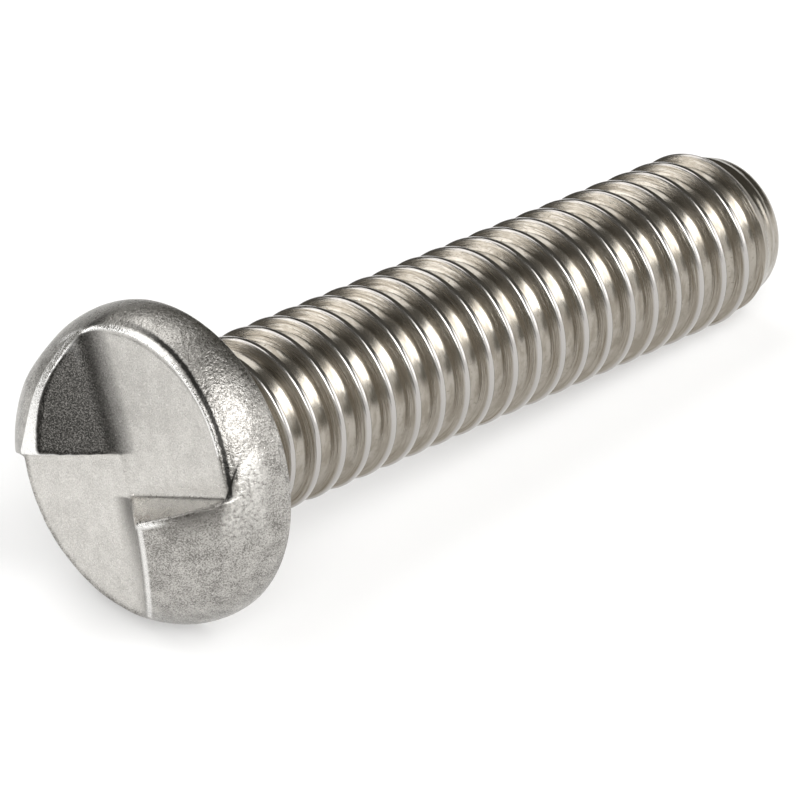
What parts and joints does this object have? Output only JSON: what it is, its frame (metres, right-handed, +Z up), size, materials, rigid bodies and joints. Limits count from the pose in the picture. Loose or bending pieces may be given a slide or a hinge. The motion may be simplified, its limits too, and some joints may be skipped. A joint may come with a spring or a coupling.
{
  "type": "one-way security screw",
  "caption": "Stainless round head machine screw with a one-way slot: a driver bears on it only when tightening, and its ramps throw the blade off in reverse.",
  "frame": {"origin": "on the surface that the screw lies on, under the middle of its box", "axes": "+X runs from the head towards the point, +Z is up; the screw's axis dips 5.30 degrees from +X towards the point, because it lies on its head's rim and its last full crest"},
  "size_m": [0.021, 0.0072, 0.0072],
  "materials": {
    "stainless_steel": "tumbled satin head, brighter rolled thread"
  },
  "bodies": {
    "root": {"security_screw": "stainless_steel"}
  },
  "joints": []
}
